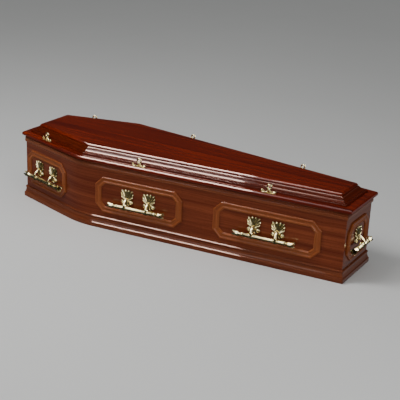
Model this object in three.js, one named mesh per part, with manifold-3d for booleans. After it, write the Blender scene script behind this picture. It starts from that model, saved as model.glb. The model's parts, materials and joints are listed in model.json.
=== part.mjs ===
import * as THREE from 'three';
import { mergeVertices } from 'three/addons/utils/BufferGeometryUtils.js';
import Module from 'manifold-3d';

// A single-shouldered wooden coffin with panelled sides and a raised lid, in millimetres.
// +X runs from head to foot, -Y is the right-hand side of whoever lies in it, +Z is up, z = 0 is the floor.

const lid = {
  length: 1900,
  shoulderFromHead: 483,
  headWidth: 336,
  shoulderWidth: 612,
  footWidth: 314,
  top: 364,
  thickness: 18,
  edgeRound: 8,
  edgeSteps: 2,
};
const raised = { sideMargin: 35, endMargin: 41, height: 33, width: 58, panelThickness: 14 };
const body = { sideOverhang: 14, endOverhang: 22, wall: 18, bendRadius: 450, bendSteps: 5 };
const plinth = { height: 62, depth: 13 };
const neck = { height: 36, depth: 6.5 };
const frame = { height: 189, clip: 42, width: 34, centre: 181.5, endWidth: 235 };
const handle = {
  plateHeight: 188,
  barHeight: 145,
  barStandOff: 28,
  barRadius: 10,
  barLength: 312,
  endBarLength: 200,
  plateSpacing: 122,
  armWidth: 9,
};
const plate = { rim: 2.5, ridge: 6, boss: 9, ridgeAt: 0.6, carving: 1.2 };
// Right half of a plate's outline, from the middle of its top to the middle of its bottom: two leaf
// points, two side lobes, a waist and a curl, with a notch between each pair.
const plateEdge = [
  [0, 37],
  [10, 45],
  [18, 36],
  [32, 41],
  [27, 30],
  [35, 23],
  [27, 15],
  [32, 8],
  [22, -5],
  [33, -15],
  [33, -28],
  [22, -36],
  [0, -31],
];
const wreath = {
  inset: 20,
  ringHeight: 29.5,
  ringRadius: 14,
  eyeRadius: 6.5,
  thickness: 7,
  footLength: 80,
  footWidth: 22,
};
// Each side carries three panels: the first on the short wall beside the head, two on the long wall.
// from is the distance of the panel's centre from the sharp corner of the shoulder.
const panels = [
  { wall: 'short', from: 293, length: 347 },
  { wall: 'long', from: 336, length: 486 },
  { wall: 'long', from: 1017, length: 545 },
];
const wreathPlaces = [
  { wall: 'short', from: 297 },
  { wall: 'long', from: 337 },
  { wall: 'long', from: 1019 },
];
const gap = 0.3;

const mahogany = new THREE.MeshStandardMaterial({ color: 0x4a1a10, roughness: 0.22, metalness: 0 });
const mahoganyTop = new THREE.MeshStandardMaterial({ color: 0x40120c, roughness: 0.18, metalness: 0 });
const bareBoard = new THREE.MeshStandardMaterial({ color: 0xb08a5e, roughness: 0.7, metalness: 0 });
const frameWood = new THREE.MeshStandardMaterial({ color: 0x7d3a1e, roughness: 0.3, metalness: 0 });
const brass = new THREE.MeshStandardMaterial({ color: 0xd9c58a, roughness: 0.25, metalness: 1 });

const wasm = await Module();
wasm.setup();

// Welds shared corners, so that a piece is one closed skin.
function weld(geometry) {
  const bare = geometry.index ? geometry.toNonIndexed() : geometry.clone();
  bare.deleteAttribute('normal');
  bare.deleteAttribute('uv');
  const merged = mergeVertices(bare, 1e-3);
  const kept = [];
  for (let i = 0; i < merged.index.count; i += 3) {
    const [a, b, c] = [0, 1, 2].map((k) => merged.index.getX(i + k));
    if (a !== b && b !== c && c !== a) {
      kept.push(a, b, c);
    }
  }
  merged.setIndex(kept);
  merged.clearGroups();
  merged.computeVertexNormals();
  return merged;
}

function solid(geometry) {
  const welded = weld(geometry);
  return new wasm.Manifold(new wasm.Mesh({
    numProp: 3,
    vertProperties: new Float32Array(welded.attributes.position.array),
    triVerts: new Uint32Array(welded.index.array),
  }));
}

function join(...geometries) {
  const joined = geometries.map(solid).reduce((whole, piece) => whole.add(piece)).getMesh();
  const geometry = new THREE.BufferGeometry();
  geometry.setAttribute('position', new THREE.BufferAttribute(joined.vertProperties, 3));
  geometry.setIndex(new THREE.BufferAttribute(joined.triVerts, 1));
  return weld(geometry);
}

function vec(x, y) {
  return new THREE.Vector2(x, y);
}

// Outlines run clockwise seen from above, so the outside lies on the left of each edge.
function direction(from, to) {
  return to.clone().sub(from).normalize();
}

function outward(from, to) {
  const along = direction(from, to);
  return vec(-along.y, along.x);
}

// The vector that a point moves by, for each millimetre of outward offset, along a given cut.
function cutVector(cut, normal) {
  return cut.clone().multiplyScalar(1 / cut.dot(normal));
}

function mitre(outline, i) {
  const n = outline.length;
  const before = outward(outline[(i + n - 1) % n], outline[i]);
  const after = outward(outline[i], outline[(i + 1) % n]);
  return cutVector(before.clone().add(after), after);
}

// Moves every edge of an outline inwards, the edge from corner i to corner i + 1 by insets[i].
function inset(outline, insets) {
  const n = outline.length;
  return outline.map((corner, i) => {
    const h = (i + n - 1) % n;
    const a = outward(outline[h], corner);
    const b = outward(corner, outline[(i + 1) % n]);
    const det = a.x * b.y - a.y * b.x;
    const x = (-insets[h] * b.y + insets[i] * a.y) / det;
    const y = (-insets[i] * a.x + insets[h] * b.x) / det;
    return vec(corner.x + x, corner.y + y);
  });
}

// Corners: right foot, right shoulder, right head, left head, left shoulder, left foot.
const headX = -lid.length / 2;
const shoulderX = headX + lid.shoulderFromHead;
const lidOutline = [
  vec(-headX, -lid.footWidth / 2),
  vec(shoulderX, -lid.shoulderWidth / 2),
  vec(headX, -lid.headWidth / 2),
  vec(headX, lid.headWidth / 2),
  vec(shoulderX, lid.shoulderWidth / 2),
  vec(-headX, lid.footWidth / 2),
];

// Long side, short side, head, short side, long side, foot.
function sidesAndEnds(side, end) {
  return [side, side, end, side, side, end];
}

const bodyOutline = inset(lidOutline, sidesAndEnds(body.sideOverhang, body.endOverhang));
const raisedOutline = inset(lidOutline, sidesAndEnds(raised.sideMargin, raised.endMargin));

// Sweeps a profile of [outward offset, height] points along stations { at, across }.
function sweep(stations, profile) {
  const last = stations.length - 1;
  const shape = new THREE.Shape(profile.map(([x, y]) => vec(x, y)));
  const geometry = new THREE.ExtrudeGeometry(shape, { depth: last, steps: last, bevelEnabled: false });
  const place = geometry.attributes.position;
  for (let i = 0; i < place.count; i += 1) {
    const { at, across } = stations[Math.round(place.getZ(i))];
    const offset = place.getX(i);
    place.setXYZ(i, at.x + across.x * offset, at.y + across.y * offset, place.getY(i));
  }
  return geometry;
}

// The same around a whole outline: the two end faces meet, and are left out.
function sweepRound(outline, profile) {
  const corners = outline.map((at, i) => ({ at, across: mitre(outline, i) }));
  const geometry = sweep([...corners, corners[0]], profile);
  const ends = geometry.groups.find((part) => part.materialIndex === 0);
  for (const name of ['position', 'normal', 'uv']) {
    const old = geometry.attributes[name];
    const from = (ends.start + ends.count) * old.itemSize;
    geometry.setAttribute(name, new THREE.BufferAttribute(old.array.slice(from), old.itemSize));
  }
  return weld(geometry);
}

// Stations along one side of the body, from corner to corner, bent round the shoulder.
function bentSide(from, shoulder, to, startCut, endCut) {
  const first = direction(from, shoulder);
  const second = direction(shoulder, to);
  const turn = Math.acos(first.dot(second));
  const reach = body.bendRadius * Math.tan(turn / 2);
  const normal = outward(from, shoulder);
  const centre = shoulder.clone().addScaledVector(first, -reach).addScaledVector(normal, -body.bendRadius);
  const stations = [{ at: from.clone().addScaledVector(first, gap), across: cutVector(startCut, normal) }];
  for (let i = 0; i <= body.bendSteps; i += 1) {
    const across = normal.clone().rotateAround(vec(0, 0), (-turn * i) / body.bendSteps);
    stations.push({ at: centre.clone().addScaledVector(across, body.bendRadius), across });
  }
  const last = to.clone().addScaledVector(second, -gap);
  stations.push({ at: last, across: cutVector(endCut, outward(shoulder, to)) });
  return stations;
}

function straight(outline, i) {
  const j = (i + 1) % outline.length;
  const [from, to] = [outline[i], outline[j]];
  const along = direction(from, to);
  const normal = outward(from, to);
  return [
    { at: from.clone().addScaledVector(along, gap), across: cutVector(mitre(outline, i), normal) },
    { at: to.clone().addScaledVector(along, -gap), across: cutVector(mitre(outline, j), normal) },
  ];
}

const group = new THREE.Group();

function add(name, geometry, material, parent = group) {
  const mesh = new THREE.Mesh(geometry, material);
  mesh.name = name;
  parent.add(mesh);
  return mesh;
}

function rectangle(inner, outer, bottom, top) {
  return [[inner, bottom], [outer, bottom], [outer, top], [inner, top]];
}

// Half of the plan's width at x, to a line that lies so far inside the outer faces of the sides.
function halfWidth(x, inside) {
  const [foot, shoulder, head] = bodyOutline;
  const [from, to] = x < shoulder.x ? [shoulder, head] : [foot, shoulder];
  const normal = outward(from, to);
  return -from.y + (inside + (x - from.x) * normal.x) / normal.y;
}

function plank(points, thickness) {
  return weld(new THREE.ExtrudeGeometry(new THREE.Shape(points), { depth: thickness, bevelEnabled: false }));
}

// The box: a base inside four upright boards, open at the top.
function makeBox() {
  const wallTop = lid.top - lid.thickness - gap;
  const [rightFoot, rightShoulder, rightHead, leftHead, leftShoulder, leftFoot] = bodyOutline;
  const square = vec(0, 1);
  const right = bentSide(rightFoot, rightShoulder, rightHead, square, square);
  const left = bentSide(leftHead, leftShoulder, leftFoot, square, square);
  const wall = rectangle(-body.wall, 0, 0, wallTop);
  add('side_board_right', weld(sweep(right, wall)), mahogany);
  add('side_board_left', weld(sweep(left, wall)), mahogany);
  const inside = body.wall + gap;
  for (const [name, sign] of [['head_board', -1], ['foot_board', 1]]) {
    const outer = sign * (rightFoot.x - gap);
    const inner = sign * (rightFoot.x - body.wall);
    const corners = [[outer, -1], [outer, 1], [inner, 1], [inner, -1]];
    add(name, plank(corners.map(([x, side]) => vec(x, side * halfWidth(x, inside))), wallTop), mahogany);
  }
  const floorEnd = rightFoot.x - inside;
  const bend = right.slice(1, -1).map(({ at, across }) => at.clone().addScaledVector(across, -inside));
  const [footCorner, headCorner] = [floorEnd, -floorEnd].map((x) => vec(x, -halfWidth(x, inside)));
  const half = [footCorner, ...bend, headCorner];
  const mirrored = half.map(({ x, y }) => vec(x, -y)).reverse();
  add('base_board', plank([...half, ...mirrored], body.wall), bareBoard);
}

// A moulding round the outside of the box: two bent strips and two short ones, mitred at the corners.
function surround(name, profile) {
  const [rightFoot, rightShoulder, rightHead, leftHead, leftShoulder, leftFoot] = bodyOutline;
  const cuts = bodyOutline.map((corner, i) => mitre(bodyOutline, i));
  const right = bentSide(rightFoot, rightShoulder, rightHead, cuts[0], cuts[2]);
  const left = bentSide(leftHead, leftShoulder, leftFoot, cuts[3], cuts[5]);
  add(`${name}_right`, weld(sweep(right, profile)), mahogany);
  add(`${name}_left`, weld(sweep(left, profile)), mahogany);
  add(`${name}_head`, weld(sweep(straight(bodyOutline, 2), profile)), mahogany);
  add(`${name}_foot`, weld(sweep(straight(bodyOutline, 5), profile)), mahogany);
}

function makePlinth() {
  const { height, depth } = plinth;
  surround('plinth', [
    [gap, 0],
    [depth - 1.5, 0],
    [depth, 3],
    [depth, 20],
    [depth - 1.5, 24.5],
    [depth - 4.5, 26.5],
    [depth - 4.5, 30],
    [depth - 7, 36],
    [depth - 8.5, 44],
    [depth - 8.5, 50],
    [depth - 6.5, 52],
    [depth - 6.5, 57],
    [depth - 9, 60.5],
    [gap, height],
  ]);
}

function makeNeckMoulding() {
  const { height, depth } = neck;
  const top = lid.top - lid.thickness - gap;
  surround('neck_moulding', [
    [gap, top],
    [gap, top - height],
    [depth - 4, top - height],
    [depth - 1.5, top - height + 3],
    [depth - 0.5, top - height + 16],
    [depth - 3, top - height + 18.5],
    [depth - 3, top - height + 20.5],
    [depth, top - height + 22],
    [depth, top - height + 25.5],
    [depth - 3, top - height + 28],
    [depth - 5, top - 5],
    [depth - 5, top],
  ].reverse());
}

// The lid: a board with rounded edges and an opening under its raised part.
function makeLidBoard() {
  const round = lid.edgeRound;
  const outer = inset(lidOutline, sidesAndEnds(round, round));
  const hole = inset(raisedOutline, sidesAndEnds(raised.width - round, raised.width - round));
  const shape = new THREE.Shape(outer);
  shape.holes.push(new THREE.Path(hole.reverse()));
  const board = new THREE.ExtrudeGeometry(shape, {
    depth: lid.thickness - 2 * round,
    bevelThickness: round,
    bevelSize: round,
    bevelSegments: lid.edgeSteps,
  });
  board.translate(0, 0, lid.top - lid.thickness + round);
  add('lid_board', weld(board), mahogany);
}

// Six mitred strips carry the top panel.
function makeRaisedMoulding() {
  const names = ['right_long', 'right_short', 'head', 'left_short', 'left_long', 'foot'];
  const { height, width } = raised;
  const base = lid.top + gap;
  const profile = [
    [0, 0],
    [0, 4],
    [-2, 7],
    [-6, 9],
    [-11, 9.5],
    [-12, 11],
    [-18, 13.5],
    [-23.5, 17.5],
    [-28, 23],
    [-30, 26],
    [-33, 26],
    [-33.6, 29],
    [-36.5, 31.5],
    [-41, height - gap],
    [-width, height - gap],
    [-width, 0],
  ].map(([offset, rise]) => [offset, base + rise]).reverse();
  names.forEach((name, i) => {
    add(`lid_moulding_${name}`, weld(sweep(straight(raisedOutline, i), profile)), mahogany);
  });
}

// Stacks copies of an outline, one for each [outward offset, height], into a solid with two flat faces.
function stack(outline, levels) {
  const last = levels.length - 1;
  const shape = new THREE.Shape(outline);
  const geometry = new THREE.ExtrudeGeometry(shape, { depth: last, steps: last, bevelEnabled: false });
  const place = geometry.attributes.position;
  for (let i = 0; i < place.count; i += 1) {
    const here = vec(place.getX(i), place.getY(i));
    const corner = outline.findIndex((point) => point.distanceTo(here) < gap);
    const [offset, height] = levels[Math.round(place.getZ(i))];
    here.addScaledVector(mitre(outline, corner), offset);
    place.setXYZ(i, here.x, here.y, height);
  }
  return weld(geometry);
}

// The top panel, with a slanting rounded edge that stands a little over the moulding.
function makeTopPanel() {
  const base = lid.top + raised.height + gap;
  const nose = [
    [-41, 0],
    [-38.6, 1.3],
    [-38, 3.4],
    [-39.6, 6.2],
    [-43.2, 9.8],
    [-47.4, 12.6],
    [-52, raised.panelThickness - gap],
  ].map(([offset, rise]) => [offset, base + rise]);
  add('lid_panel', stack(raisedOutline, nose), mahoganyTop);
}

// A group whose X runs along a wall, Y goes up and Z points out of it.
function onWall(at, normal, height) {
  const out = new THREE.Vector3(normal.x, normal.y, 0);
  const up = new THREE.Vector3(0, 0, 1);
  const along = new THREE.Vector3().crossVectors(up, out);
  const place = new THREE.Group();
  place.quaternion.setFromRotationMatrix(new THREE.Matrix4().makeBasis(along, up, out));
  place.position.set(at.x, at.y, height);
  group.add(place);
  return place;
}

function panelFrame(length) {
  const [x, y, c] = [length / 2, frame.height / 2, frame.clip];
  const octagon = [
    vec(-x + c, y),
    vec(x - c, y),
    vec(x, y - c),
    vec(x, -y + c),
    vec(x - c, -y),
    vec(-x + c, -y),
    vec(-x, -y + c),
    vec(-x, y - c),
  ];
  return sweepRound(octagon, [
    [0, gap],
    [0, 5],
    [-3, 8],
    [-8, 8],
    [-13, 4.5],
    [-21, 4.5],
    [-27, 7],
    [-frame.width, 3],
    [-frame.width, gap],
  ].reverse());
}

// A leaf with a raised boss, made from a turned blank that is drawn out to the plate's outline, and the
// arm that comes out of it and runs down round the bar.
function handlePlate() {
  const { rim, ridge, boss, ridgeAt, carving } = plate;
  const outline = [...plateEdge.map(([x, y]) => [-x, y]), ...plateEdge.slice(1, -1).reverse()];
  const blank = [vec(0, 0), vec(1, 0), vec(1, rim), vec(ridgeAt, ridge), vec(0, boss)];
  const leaf = new THREE.LatheGeometry(blank, outline.length);
  const place = leaf.attributes.position;
  for (let i = 0; i < place.count; i += 1) {
    const radius = Math.hypot(place.getX(i), place.getZ(i));
    const k = Math.floor(i / blank.length) % outline.length;
    const rise = Math.abs(radius - ridgeAt) < 0.1 ? carving * (k % 2 ? 1 : -1) : 0;
    place.setXYZ(i, outline[k][0] * radius, outline[k][1] * radius, gap + place.getY(i) + rise);
  }
  const ring = vec(handle.barStandOff, handle.barHeight - handle.plateHeight);
  const shape = new THREE.Shape();
  shape.moveTo(2, 6);
  shape.lineTo(14, 5);
  shape.lineTo(30, -2);
  shape.lineTo(39, -12);
  shape.absarc(ring.x, ring.y, handle.barRadius + 4.5, 0.5, 1.9 - 2 * Math.PI, true);
  shape.lineTo(27, -20);
  shape.lineTo(20, -12);
  shape.lineTo(2, -8);
  const eye = new THREE.Path();
  eye.absarc(ring.x, ring.y, handle.barRadius + 0.9, 0, 2 * Math.PI, false);
  shape.holes.push(eye);
  const arm = new THREE.ExtrudeGeometry(shape, {
    depth: handle.armWidth,
    bevelEnabled: false,
    curveSegments: 4,
  });
  arm.translate(0, 0, -handle.armWidth / 2);
  arm.rotateY(-Math.PI / 2);
  return join(leaf, arm);
}

// A turned bar with a flared, hollowed cap at each end.
function handleBar(length) {
  const end = length / 2;
  const r = handle.barRadius;
  const half = [
    vec(0, end - 6),
    vec(r * 1.55, end),
    vec(r * 1.65, end - 7),
    vec(r * 0.85, end - 27),
    vec(r * 1.2, end - 31),
    vec(r * 1.2, end - 36),
    vec(r, end - 38),
  ];
  const profile = [...half, ...half.map(({ x, y }) => vec(x, -y)).reverse()];
  return weld(new THREE.LatheGeometry(profile.reverse(), 8).rotateZ(Math.PI / 2));
}

// A wreath holder: a scrolled foot, a short waisted stem and an upright ring.
function wreathHolder() {
  const { ringHeight, ringRadius, eyeRadius, thickness, footLength, footWidth } = wreath;
  const half = [
    [footLength / 2, gap],
    [footLength / 2 + 1, 5],
    [footLength / 2 - 3, 10],
    [footLength / 2 - 9, 10.5],
    [footLength / 2 - 14, 7],
    [20, 5.5],
    [12, 7],
    [7, 14],
    [4.5, ringHeight - ringRadius + 1],
  ];
  const shape = new THREE.Shape(half.map(([x, y]) => vec(x, y)));
  shape.absarc(0, ringHeight, ringRadius, -Math.PI / 3, (4 * Math.PI) / 3, false);
  [...half].reverse().forEach(([x, y]) => shape.lineTo(-x, y));
  const eye = new THREE.Path();
  eye.absarc(0, ringHeight, eyeRadius, 0, 2 * Math.PI, false);
  shape.holes.push(eye);
  const upright = new THREE.ExtrudeGeometry(shape, { depth: thickness, bevelEnabled: false, curveSegments: 4 });
  upright.translate(0, 0, -thickness / 2);
  upright.rotateX(Math.PI / 2);
  const foot = new THREE.CylinderGeometry(1, 1, 3, 12);
  const place = foot.attributes.position;
  for (let i = 0; i < place.count; i += 1) {
    const [x, z] = [place.getX(i), place.getZ(i)];
    const waist = 0.55 + 0.45 * Math.abs(Math.cos(2 * Math.atan2(z, x)));
    place.setXYZ(i, (x * footLength) / 2, z * waist * (footWidth / 2), gap + 1.5 - place.getY(i));
  }
  return join(upright, foot);
}

function addFrame(name, length, at, normal) {
  add(`panel_frame_${name}`, panelFrame(length), frameWood, onWall(at, normal, frame.centre));
}

function addHandle(name, length, plates, at, normal) {
  const place = onWall(at, normal, handle.plateHeight);
  plates.forEach(([suffix, x]) => {
    add(`handle_plate_${name}${suffix}`, handlePlate(), brass, place).position.x = x;
  });
  const bar = add(`handle_bar_${name}`, handleBar(length), brass, place);
  bar.position.set(0, handle.barHeight - handle.plateHeight, handle.barStandOff);
}

function addWreathHolder(name, at, normal) {
  const holder = add(`wreath_holder_${name}`, wreathHolder(), brass);
  holder.position.set(at.x - wreath.inset * normal.x, at.y - wreath.inset * normal.y, lid.top);
  holder.rotation.z = Math.atan2(normal.y, normal.x) + Math.PI / 2;
}

// A point on a side wall and the way that the wall faces there. facing is -1 on the right, 1 on the left.
function wallSpot(outline, facing, { wall, from }) {
  const [foot, shoulder, head] = outline;
  const isLong = wall === 'long';
  const at = shoulder.clone().addScaledVector(direction(shoulder, isLong ? foot : head), from);
  const normal = isLong ? outward(foot, shoulder) : outward(shoulder, head);
  return [at, normal].map(({ x, y }) => vec(x, -facing * y));
}

makeBox();
makePlinth();
makeNeckMoulding();
makeLidBoard();
makeRaisedMoulding();
makeTopPanel();
for (const [side, facing] of [['right', -1], ['left', 1]]) {
  const half = handle.plateSpacing / 2;
  panels.forEach((panel, i) => {
    const [at, normal] = wallSpot(bodyOutline, facing, panel);
    addFrame(`${side}_${i + 1}`, panel.length, at, normal);
    addHandle(`${side}_${i + 1}`, handle.barLength, [['a', -half], ['b', half]], at, normal);
  });
  wreathPlaces.forEach((place, i) => {
    addWreathHolder(`${side}_${i + 1}`, ...wallSpot(lidOutline, facing, place));
  });
}
for (const [name, facing] of [['head', -1], ['foot', 1]]) {
  const at = vec(facing * bodyOutline[0].x, 0);
  addFrame(name, frame.endWidth, at, vec(facing, 0));
  addHandle(name, handle.endBarLength, [['', 0]], at, vec(facing, 0));
}

export default group;
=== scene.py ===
import json
import math

import bmesh
import bpy
from mathutils import Matrix, Vector

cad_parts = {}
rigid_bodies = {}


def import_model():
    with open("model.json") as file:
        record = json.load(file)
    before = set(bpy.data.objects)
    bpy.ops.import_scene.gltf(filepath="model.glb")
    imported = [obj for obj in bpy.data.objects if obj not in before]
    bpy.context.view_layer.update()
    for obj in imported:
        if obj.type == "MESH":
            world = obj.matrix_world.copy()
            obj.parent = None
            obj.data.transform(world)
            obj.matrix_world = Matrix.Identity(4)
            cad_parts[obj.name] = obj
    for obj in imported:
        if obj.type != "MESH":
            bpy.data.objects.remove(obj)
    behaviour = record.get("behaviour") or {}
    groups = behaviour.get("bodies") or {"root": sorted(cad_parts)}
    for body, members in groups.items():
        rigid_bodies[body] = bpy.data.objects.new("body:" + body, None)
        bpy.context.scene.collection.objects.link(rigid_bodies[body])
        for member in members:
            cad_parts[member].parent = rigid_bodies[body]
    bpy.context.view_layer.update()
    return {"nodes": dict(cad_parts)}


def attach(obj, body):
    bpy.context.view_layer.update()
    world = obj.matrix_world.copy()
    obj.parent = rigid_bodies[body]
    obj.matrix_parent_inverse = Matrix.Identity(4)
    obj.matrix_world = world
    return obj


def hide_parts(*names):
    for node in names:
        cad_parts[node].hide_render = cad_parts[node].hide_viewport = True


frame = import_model()
mm = 0.001  # shapes are given in millimetres, the camera and the lamps in metres
weld = 1e-6

cameraSet = {
    "azimuth": 30.317,  # degrees, 0 looks along +Y
    "elevation": 21.096,
    "roll": 2.686,
    "distance": 4.997571,  # metres
    "target": (0.072553, 0.0, 0.160833),
    "focalPixels": 985.39,
    "pictureWidth": 400,  # pixels
    "sensor": 36.0,
    "clipEnd": 100,
}


def makeCamera(values):
    azimuth = math.radians(values["azimuth"])
    elevation = math.radians(values["elevation"])
    roll = math.radians(values["roll"])
    level = math.cos(elevation)
    back = Vector((math.sin(azimuth) * level, -math.cos(azimuth) * level, math.sin(elevation)))
    right = Vector((math.cos(azimuth), math.sin(azimuth), 0))
    up = back.cross(right)
    turnedRight = right * math.cos(roll) + up * math.sin(roll)
    turnedUp = up * math.cos(roll) - right * math.sin(roll)
    data = bpy.data.cameras.new("camera")
    data.sensor_width = values["sensor"]
    data.lens = values["sensor"] * values["focalPixels"] / values["pictureWidth"]
    data.clip_end = values["clipEnd"]
    camera = bpy.data.objects.new("camera", data)
    bpy.context.collection.objects.link(camera)
    turn = Matrix((turnedRight, turnedUp, back)).transposed().to_4x4()
    place = Vector(values["target"]) + back * values["distance"]
    camera.matrix_world = Matrix.Translation(place) @ turn
    bpy.context.scene.camera = camera


makeCamera(cameraSet)
print("camera made")

# Plans run clockwise seen from above:
# right foot, right shoulder, right head, left head, left shoulder, left foot.
planSet = {
    "length": 1900,
    "shoulderFromHead": 483,
    "headWidth": 336,
    "shoulderWidth": 612,
    "footWidth": 314,
    "lidTop": 364,
    "lidThickness": 18,
    "bodySideInset": 14,
    "bodyEndInset": 22,
    "raisedSideInset": 35,
    "raisedEndInset": 41,
    "wall": 18,
    "bendRadius": 450,
    "bendSteps": 24,
    "gap": 0.3,
}


def flat(x, y):
    return Vector((x, y))


def direction(start, end):
    return (end - start).normalized()


def outward(start, end):
    along = direction(start, end)
    return flat(-along.y, along.x)


def cutVector(cut, normal):
    return cut / cut.dot(normal)


def mitre(outline, i):
    n = len(outline)
    before = outward(outline[(i - 1) % n], outline[i % n])
    after = outward(outline[i % n], outline[(i + 1) % n])
    return cutVector(before + after, after)


def inset(outline, side, end):
    insets = [side, side, end, side, side, end]
    result = []
    for i, corner in enumerate(outline):
        before = outward(outline[i - 1], corner)
        after = outward(corner, outline[(i + 1) % len(outline)])
        det = before.x * after.y - before.y * after.x
        x = (-insets[i - 1] * after.y + insets[i] * before.y) / det
        y = (-insets[i] * before.x + insets[i - 1] * after.x) / det
        result.append(flat(corner.x + x, corner.y + y))
    return result


headX = -planSet["length"] / 2
shoulderX = headX + planSet["shoulderFromHead"]
lidPlan = [
    flat(-headX, -planSet["footWidth"] / 2),
    flat(shoulderX, -planSet["shoulderWidth"] / 2),
    flat(headX, -planSet["headWidth"] / 2),
    flat(headX, planSet["headWidth"] / 2),
    flat(shoulderX, planSet["shoulderWidth"] / 2),
    flat(-headX, planSet["footWidth"] / 2),
]
bodyPlan = inset(lidPlan, planSet["bodySideInset"], planSet["bodyEndInset"])
raisedPlan = inset(lidPlan, planSet["raisedSideInset"], planSet["raisedEndInset"])
gap = planSet["gap"]


def bentSide(start, shoulder, end, startCut, endCut):
    first = direction(start, shoulder)
    second = direction(shoulder, end)
    turn = first.angle(second)
    radius = planSet["bendRadius"]
    steps = planSet["bendSteps"]
    normal = outward(start, shoulder)
    centre = shoulder - first * (radius * math.tan(turn / 2)) - normal * radius
    stations = [(start + first * gap, cutVector(startCut, normal))]
    for i in range(steps + 1):
        angle = -turn * i / steps
        across = flat(
            normal.x * math.cos(angle) - normal.y * math.sin(angle),
            normal.x * math.sin(angle) + normal.y * math.cos(angle),
        )
        stations.append((centre + across * radius, across))
    stations.append((end - second * gap, cutVector(endCut, outward(shoulder, end))))
    return stations


def straight(outline, i):
    start, end = outline[i], outline[(i + 1) % len(outline)]
    along = direction(start, end)
    normal = outward(start, end)
    return [
        (start + along * gap, cutVector(mitre(outline, i), normal)),
        (end - along * gap, cutVector(mitre(outline, i + 1), normal)),
    ]


def rounded(points, steps=4):
    result = []  # points are (x, y, radius of the rounded corner)
    for i, (x, y, radius) in enumerate(points):
        here = flat(x, y)
        toBack = flat(*points[i - 1][:2]) - here
        toNext = flat(*points[(i + 1) % len(points)][:2]) - here
        angle = toBack.angle(toNext)
        if radius <= 0 or angle > math.radians(176):
            result.append((x, y))
            continue
        reach = min(radius / math.tan(angle / 2), 0.49 * toBack.length, 0.49 * toNext.length)
        start = here + toBack.normalized() * reach
        end = here + toNext.normalized() * reach
        for k in range(steps + 1):
            t = k / steps
            point = start * (1 - t) ** 2 + here * 2 * t * (1 - t) + end * t * t
            result.append((point.x, point.y))
    return result


def mixed(a, b, t):
    return a + (b - a) * t


def eased(t):
    t = max(0.0, min(1.0, t))
    return t * t * (3 - 2 * t)


def curveThrough(points, steps):
    dense = []  # a Catmull-Rom line through the points
    ends = [points[0] * 2 - points[1], *points, points[-1] * 2 - points[-2]]
    for i in range(1, len(ends) - 2):
        a, b, c, d = ends[i - 1:i + 3]
        for k in range(steps):
            t = k / steps
            dense.append(0.5 * ((2 * b) + (c - a) * t + (2 * a - 5 * b + 4 * c - d) * t * t
                                + (3 * b - a - 3 * c + d) * t ** 3))
    return [*dense, points[-1]]


def loft(bm, rows, coords=None, closed=True, caps=True, paintedShades=None):
    uvLayer = bm.loops.layers.uv.verify()
    # this vertex layer carries painted shade, which the brass material reads
    paintedShadeLayer = bm.verts.layers.float.get("paintedShade") or bm.verts.layers.float.new("paintedShade")
    verts = []
    for i, row in enumerate(rows):
        verts.append([bm.verts.new(Vector(p) * mm) for p in row])
        if paintedShades:
            for vert, value in zip(verts[-1], paintedShades[i]):
                vert[paintedShadeLayer] = value
    count = len(rows[0])
    for i in range(len(rows) - 1):
        for j in range(count if closed else count - 1):
            k = (j + 1) % count
            face = bm.faces.new((verts[i][j], verts[i + 1][j], verts[i + 1][k], verts[i][k]))
            if coords:
                corners = (coords[i][j], coords[i + 1][j], coords[i + 1][j + 1], coords[i][j + 1])
                for loop, uv in zip(face.loops, corners):
                    loop[uvLayer].uv = (uv[0] * mm, uv[1] * mm)
    if caps:
        for row in (verts[0], verts[-1]):
            face = bm.faces.new(row)
            for loop in face.loops:
                co = loop.vert.co
                loop[uvLayer].uv = (co.x + co.y, co.z)


def sweep(bm, stations, profile):
    around = [0.0]
    for j in range(len(profile)):
        a, b = profile[j], profile[(j + 1) % len(profile)]
        around.append(around[-1] + math.dist(a, b))
    rows, coords, travelled = [], [], 0.0
    for i, (at, across) in enumerate(stations):
        if i:
            travelled += (at - stations[i - 1][0]).length
        near = stations[max(i - 1, 0)][0], stations[min(i + 1, len(stations) - 1)][0]
        along = direction(*near)
        rows.append([(at.x + across.x * x, at.y + across.y * x, z) for x, z in profile])
        shifts = [travelled + across.dot(along) * x for x, _ in profile]
        shifts.append(shifts[0])
        coords.append(list(zip(shifts, around)))
    loft(bm, rows, coords)


def finishMesh(name, bm, nodes, material, sharpAngle=35, weighted=True):
    bmesh.ops.recalc_face_normals(bm, faces=bm.faces)
    limit = math.radians(sharpAngle)
    for face in bm.faces:
        face.smooth = True
    for edge in bm.edges:
        if len(edge.link_faces) == 2:
            edge.smooth = edge.calc_face_angle(0) < limit
    mesh = bpy.data.meshes.new(name)
    bm.to_mesh(mesh)
    bm.free()
    mesh.materials.append(material)
    piece = bpy.data.objects.new(name, mesh)
    bpy.context.collection.objects.link(piece)
    if weighted:
        modifier = piece.modifiers.new("weightedNormals", "WEIGHTED_NORMAL")
        modifier.keep_sharp = True
    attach(piece, "root")
    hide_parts(*nodes)


def planarCoords(bm):
    uvLayer = bm.loops.layers.uv.verify()
    for face in bm.faces:
        face.normal_update()
        upright = abs(face.normal.z) < 0.6
        sideways = Vector((-face.normal.y, face.normal.x, 0))
        if upright and sideways.length > 0:
            sideways.normalize()
            if sideways.x < 0:
                sideways.negate()
        for loop in face.loops:
            co = loop.vert.co
            loop[uvLayer].uv = (co.dot(sideways), co.z) if upright else (co.x, co.y)


def newGroup(name, inputs, outputs):
    group = bpy.data.node_groups.new(name, "ShaderNodeTree")
    for label, kind in inputs:
        group.interface.new_socket(label, in_out="INPUT", socket_type=kind)
    for label, kind in outputs:
        group.interface.new_socket(label, in_out="OUTPUT", socket_type=kind)
    entry = group.nodes.new("NodeGroupInput")
    result = group.nodes.new("NodeGroupOutput")
    return group, entry, result


def addNode(tree, kind, **values):
    node = tree.nodes.new(kind)
    for key, value in values.items():
        setattr(node, key, value)
    return node


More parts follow.
